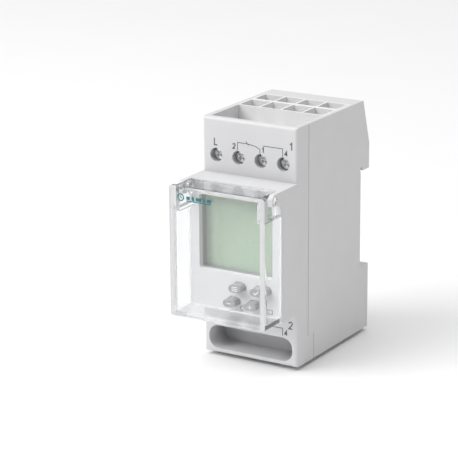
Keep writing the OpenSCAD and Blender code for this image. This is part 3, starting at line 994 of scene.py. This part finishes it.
@dataclass
class Markings:
    """Contact sketch and terminal numerals on both shoulders, and two signs on the face."""

    head_recess: float = 2.1
    key_proud: float = 3.4
    line: float = 0.24
    small: float = 1.6
    large: float = 2.4
    bold: float = 0.4
    row_gap: float = 61.5
    foot: float = 2.5
    top: float = 5.2
    numerals: tuple[tuple[Numeral, int, float, float], ...] = (
        (Numeral.TWO, 1, -1.65, 3.85),
        (Numeral.ONE, 2, 0.95, 3.75),
        (Numeral.FOUR, 3, 1.05, 3.7),
    )
    live_at: Point = (-0.15, 4.55)
    channel_one_at: Point = (3.05, 6.25)
    channel_two_at: Point = (2.85, 6.65)
    arrow_at: Point = (-4.85, -2.05)
    arrow_r: float = 0.75
    arrow_sweep: tuple[float, float, int] = (60, 300, 16)
    page: tuple[Point, Point] = ((3.2, -2.6), (5.2, -1.2))
    grey: Colour = (0.1, 0.1, 0.105)

    def contact_sketch(self, screws: list[float]) -> list[Stroke]:
        """The changeover contact with its numerals, around the height of the screws.

        Args:
            screws: Places of the four screws along X, in millimetres.

        Returns:
            The strokes, with Z counted from the screws' axis.
        """
        rest, common, work = screws[1], screws[2], screws[3]
        top, foot = self.top, self.foot
        lines = [
            [(rest - 0.3, foot), (rest - 0.3, top), (rest + 3.3, top), (common - 1.9, top - 0.5),
             (common - 0.3, top - 1.35), (common - 0.3, foot)],
            [(rest + 2.9, top + 0.75), (rest + 3.9, top - 0.55)],
            [(common + 0.95, top), (work - 0.25, top), (work - 0.25, foot)],
        ]
        strokes = [Stroke(line, self.line) for line in lines]
        for numeral, screw, aside, z in self.numerals:
            strokes += numeral.strokes((screws[screw] + aside, z), self.small, self.bold)
        return strokes

    def build(self) -> list[bpy.types.Object]:
        """Prints the sketch on both shoulders and the small signs on the face.

        Returns:
            The printed pieces.
        """
        centres = []
        for i in range(1, 5):
            low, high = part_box(f"terminal_screw_{i}")
            centres.append(((low.x + high.x) / 2, (low.z + high.z) / 2))
            shoulder_y = low.y - self.head_recess * MM
        screws = [x / MM for x, _ in centres]
        upper = Vector((0, shoulder_y, centres[0][1]))
        lower = upper - Vector((0, 0, self.row_gap * MM))
        live, channel_one, channel_two = (
            numeral.strokes((screw + at[0], at[1]), self.large, self.bold)
            for numeral, screw, at in (
                (Numeral.LINE, screws[0], self.live_at),
                (Numeral.ONE, screws[3], self.channel_one_at),
                (Numeral.TWO, screws[3], self.channel_two_at),
            )
        )
        sketch = self.contact_sketch(screws)
        made = [
            print_strokes("upper_contact_sketch", sketch + live + channel_one, upper),
            print_strokes("lower_contact_sketch", sketch + channel_two, lower),
        ]
        beside = front_middle("plus_button")
        beside.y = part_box("menu_button")[0].y + self.key_proud * MM
        arrow = Stroke(circle_points(self.arrow_at, self.arrow_r, *self.arrow_sweep), self.line)
        made.append(print_strokes("repeat_sign", [arrow], beside))
        (left, low), (right, high) = self.page
        corners = [(left, low), (right, low), (right, high), (left, high)]
        page = Stroke(corners, self.line, True)
        made.append(print_strokes("page_sign", [page], beside))
        for piece in made:
            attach(piece, "housing")
        return made

    def dress(self, prints: list[bpy.types.Object]) -> None:
        """Paints the prints.

        Args:
            prints: The printed pieces.
        """
        ink = PadInk("print_grey", self.grey).material()
        for piece in prints:
            paint(piece, ink)


@dataclass
class Electronics:
    """What the shells enclose: boards' parts, relay and supply."""

    def dress(self) -> None:
        """Paints the enclosed parts."""
        steel = PlatedMetal("can_steel", (0.66, 0.67, 0.69), 0.25).material()
        copper = PlatedMetal("contact_copper", (0.75, 0.5, 0.32), 0.3).material()
        epoxy = Lacquer("chip_epoxy", (0.03, 0.03, 0.033), 0.5, 0.3).material()
        finishes = {
            "microcontroller": epoxy,
            "rectifier_diodes": epoxy,
            "quartz_crystal": steel,
            "backup_battery": steel,
            "relay_yoke": steel,
            "relay_armature": steel,
            "relay_moving_contact": copper,
            "relay_fixed_contacts": copper,
            "relay_coil": Winding("coil_wire", (0.62, 0.25, 0.1)).material(),
            "chip_parts": Lacquer("chip_ceramic", (0.3, 0.22, 0.15), 0.45).material(),
            "board_headers": MouldedPlastic("header_ivory", (0.75, 0.7, 0.58), Grain.SATIN).material(),
            "ribbon_cable": MouldedPlastic("ribbon_grey", (0.6, 0.6, 0.61), Grain.SATIN).material(),
            "relay_base": MouldedPlastic("relay_base", (0.03, 0.032, 0.035), Grain.SATIN).material(),
            "relay_cover": MouldedPlastic(
                "relay_cover", (0.03, 0.07, 0.16), Grain.POLISHED, 0.3
            ).material(),
            "film_capacitor": MouldedPlastic(
                "film_box", (0.62, 0.46, 0.07), Grain.SATIN, 0.35
            ).material(),
            "smoothing_capacitors": Lacquer("can_sleeve", (0.03, 0.045, 0.12), 0.28).material(),
            "varistor": Lacquer("varistor_dip", (0.03, 0.13, 0.38), 0.25, 2.0).material(),
            "fusible_resistor": Lacquer("resistor_cement", (0.16, 0.3, 0.4), 0.5, 0.6).material(),
        }
        for node, material in finishes.items():
            paint(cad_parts[node], material)


@dataclass
class Studio:
    """Pale floor, soft light and the camera."""

    stand: Point = (0.34408, -0.6189)
    height: float = 0.2037
    yaw: float = 31.49
    pitch: float = 16.543
    roll: float = -0.422
    lens: float = 166.02
    sensor: float = 36.0
    clip: tuple[float, float] = (0.01, 20.0)
    floor_side: float = 8.0
    paper_dark: Colour = (0.94, 0.94, 0.94)
    paper_pale: Colour = (0.95, 0.95, 0.95)
    key_from: tuple[float, float, float] = (-0.5, -0.6, 0.75)
    key_side: float = 0.7
    key_power: float = 6.9
    sky_power: float = 1.45
    sky_angle: float = 60
    around: float = 0.35

    def camera(self) -> None:
        """Places the camera."""
        yaw, pitch, roll = (math.radians(a) for a in (self.yaw, self.pitch, self.roll))
        level_part = math.cos(pitch)
        ahead = Vector(
            (-math.sin(yaw) * level_part, math.cos(yaw) * level_part, -math.sin(pitch))
        )
        right = Vector((math.cos(yaw), math.sin(yaw), 0.0))
        up = right.cross(ahead)
        level = right * math.cos(roll) + up * math.sin(roll)
        upright = up * math.cos(roll) - right * math.sin(roll)
        data = bpy.data.cameras.new("camera")
        data.lens = self.lens
        data.sensor_width = self.sensor
        data.clip_start, data.clip_end = self.clip
        camera = bpy.data.objects.new("camera", data)
        camera.matrix_world = Matrix(
            (
                (level.x, upright.x, -ahead.x, self.stand[0]),
                (level.y, upright.y, -ahead.y, self.stand[1]),
                (level.z, upright.z, -ahead.z, self.height),
                (0, 0, 0, 1),
            )
        )
        bpy.context.scene.collection.objects.link(camera)
        bpy.context.scene.camera = camera

    def softbox(self, name: str, place: Vector, aim: Vector, size: float, power: float) -> None:
        """Adds a square area lamp.

        Args:
            name: Name of the lamp.
            place: Where it hangs, in metres.
            aim: Point that it looks at.
            size: Side of the square in metres.
            power: Power in watts.
        """
        data = bpy.data.lights.new(name, "AREA")
        data.shape = "SQUARE"
        data.size = size
        data.energy = power
        lamp = bpy.data.objects.new(name, data)
        lamp.location = place
        lamp.rotation_mode = "QUATERNION"
        lamp.rotation_quaternion = (aim - place).to_track_quat("-Z", "Y")
        bpy.context.scene.collection.objects.link(lamp)

    def build(self) -> None:
        """Makes floor, light and camera."""
        low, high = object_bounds()
        middle = (low + high) / 2
        bpy.ops.mesh.primitive_plane_add(size=self.floor_side, location=(0, 0, low.z))
        floor = bpy.context.object
        floor.name = "floor"
        paper = Recipe("floor_paper")
        cloud = paper.spread(paper.noise(50 * MM, 2.0), 0, 1)
        paper.put(
            Base_Color=paper.blend(cloud, self.paper_dark, self.paper_pale),
            Roughness=0.9,
        )
        paint(floor, paper.material)
        floor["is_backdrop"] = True
        place = middle + Vector(self.key_from)
        self.softbox("key", place, middle, self.key_side, self.key_power)
        sky = bpy.data.lights.new("sky", "SUN")
        sky.energy = self.sky_power
        sky.angle = math.radians(self.sky_angle)
        bpy.context.scene.collection.objects.link(bpy.data.objects.new("sky", sky))
        world = bpy.data.worlds.new("studio")
        world.use_nodes = True
        back = world.node_tree.nodes["Background"]
        back.inputs["Color"].default_value = (1.0, 1.0, 1.0, 1.0)
        back.inputs["Strength"].default_value = self.around
        bpy.context.scene.world = world
        bpy.context.scene.view_settings.view_transform = "Standard"
        self.camera()


def main() -> None:
    """Builds and dresses every sub-assembly, then the studio."""
    Housing().dress()
    LOG.info("housing: shells, grid, terminal block and latch dressed")
    terminals = Terminals()
    terminals.build()
    terminals.dress()
    LOG.info("terminals: %d screws with cages and bars", terminals.count)
    DisplayStack().dress()
    LOG.info("display stack dressed")
    keypad = Keypad()
    signs = keypad.build()
    keypad.dress(signs)
    LOG.info("keypad: %s", ", ".join(piece.name for piece in signs))
    cover = Cover()
    sign = cover.build()
    cover.dress(sign)
    LOG.info("cover: %s", sign.name)
    markings = Markings()
    prints = markings.build()
    markings.dress(prints)
    LOG.info("markings: %s", ", ".join(piece.name for piece in prints))
    Electronics().dress()
    LOG.info("electronics dressed")
    Studio().build()


if __name__ == "__main__":
    logging.basicConfig(level=logging.INFO, format="%(name)s: %(message)s")
    main()
